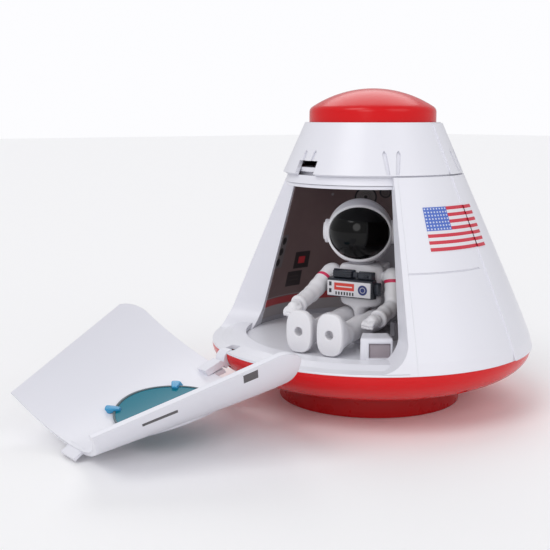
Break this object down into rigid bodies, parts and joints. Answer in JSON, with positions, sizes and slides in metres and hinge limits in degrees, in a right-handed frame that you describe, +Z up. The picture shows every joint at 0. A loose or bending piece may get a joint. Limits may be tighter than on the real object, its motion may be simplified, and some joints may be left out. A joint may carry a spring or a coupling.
{
  "type": "toy space capsule",
  "caption": "Toy space capsule with a fold-down windowed door, a domed push-button nose and a jointed astronaut figure in its seat.",
  "frame": {"origin": "centre of the foot's underside, on the surface the capsule stands on", "axes": "+Z up along the cone, -Y towards the doorway, +X to the right of a viewer who faces the door"},
  "size_m": [0.168, 0.2699, 0.1615],
  "materials": {
    "red_plastic": "gloss",
    "dark_red_plastic": "gloss",
    "steel": "satin",
    "cell_wrap": "satin",
    "black_plastic": "matte",
    "paper": "matte",
    "circuit_board": "satin",
    "white_plastic": "satin gloss",
    "grey_plastic": "satin",
    "printed_sheet": "satin print",
    "lamp_lens": "gloss",
    "flag_print": "print",
    "teal_pane": "tinted clear",
    "blue_plastic": "gloss",
    "suit_white": "satin",
    "navy_plastic": "satin",
    "label_print": "print",
    "visor_black": "high gloss"
  },
  "bodies": {
    "capsule": {"base_bowl": "red_plastic", "bottom_cover": "dark_red_plastic", "battery_door": "dark_red_plastic", "battery_door_screw": "steel", "battery_cells": "cell_wrap", "battery_contacts": "steel", "base_screws": "steel", "cabin_screws": "steel", "speaker_frame": "black_plastic", "speaker_cone": "paper", "sound_board": "circuit_board", "board_parts": "black_plastic", "cabin_shell": "white_plastic", "door_frame": "white_plastic", "nose_collar": "white_plastic", "cockpit_floor": "white_plastic", "cockpit_liner": "grey_plastic", "instrument_sheet": "printed_sheet", "cockpit_ceiling": "white_plastic", "cockpit_lamp": "lamp_lens", "seat": "grey_plastic", "side_console": "white_plastic", "nose_bulkhead": "white_plastic", "button_spring": "steel", "press_switch": "black_plastic", "flag_decal": "flag_print", "hinge_pins": "steel"},
    "door": {"door_panel": "white_plastic", "window_bezel": "white_plastic", "window_pane": "teal_pane", "window_clips": "blue_plastic"},
    "button": {"nose_button": "red_plastic"},
    "figure": {"torso": "suit_white", "pelvis": "suit_white", "neck_ring": "grey_plastic", "chest_pack": "navy_plastic", "pack_label": "label_print", "life_support_pack": "suit_white"},
    "head": {"helmet": "suit_white", "visor": "visor_black", "ear_pads": "suit_white"},
    "left_arm_body": {"left_arm": "suit_white", "left_hand": "suit_white"},
    "right_arm_body": {"right_arm": "suit_white", "right_hand": "suit_white"},
    "left_leg_body": {"left_leg": "suit_white"},
    "right_leg_body": {"right_leg": "suit_white"}
  },
  "joints": [
    {"name": "door_hinge", "type": "hinge", "parent": "capsule", "child": "door", "pos_m": [0, -0.0792, 0.0268], "axis": [-1, 0, 0], "range_deg": [0, 124]},
    {"name": "nose_press", "type": "slide", "parent": "capsule", "child": "button", "axis": [0, 0, -1], "range_m": [0, 0.0025], "stiffness_N_per_m": 300, "springref_m": -0.003, "deforming": ["button_spring"]},
    {"name": "figure_lift", "type": "slide", "parent": "capsule", "child": "figure", "axis": [0, 0, 1], "range_m": [0, 0.005]},
    {"name": "head_turn", "type": "hinge", "parent": "figure", "child": "head", "pos_m": [-0.00088, -0.00678, 0.0878], "axis": [0, 0, 1], "range_deg": [-40, 40]},
    {"name": "left_shoulder", "type": "hinge", "parent": "figure", "child": "left_arm_body", "pos_m": [0.01432, 0.00259, 0.0643], "axis": [-0.9272, -0.3746, 0], "range_deg": [-10, 55]},
    {"name": "right_shoulder", "type": "hinge", "parent": "figure", "child": "right_arm_body", "pos_m": [-0.01832, -0.01059, 0.0643], "axis": [-0.9272, -0.3746, 0], "range_deg": [-10, 60]},
    {"name": "left_hip", "type": "hinge", "parent": "figure", "child": "left_leg_body", "pos_m": [0.00588, -0.00082, 0.0408], "axis": [-0.9272, -0.3746, 0], "range_deg": [0, 12]},
    {"name": "right_hip", "type": "hinge", "parent": "figure", "child": "right_leg_body", "pos_m": [-0.00988, -0.00718, 0.0408], "axis": [-0.9272, -0.3746, 0], "range_deg": [0, 12]}
  ]
}
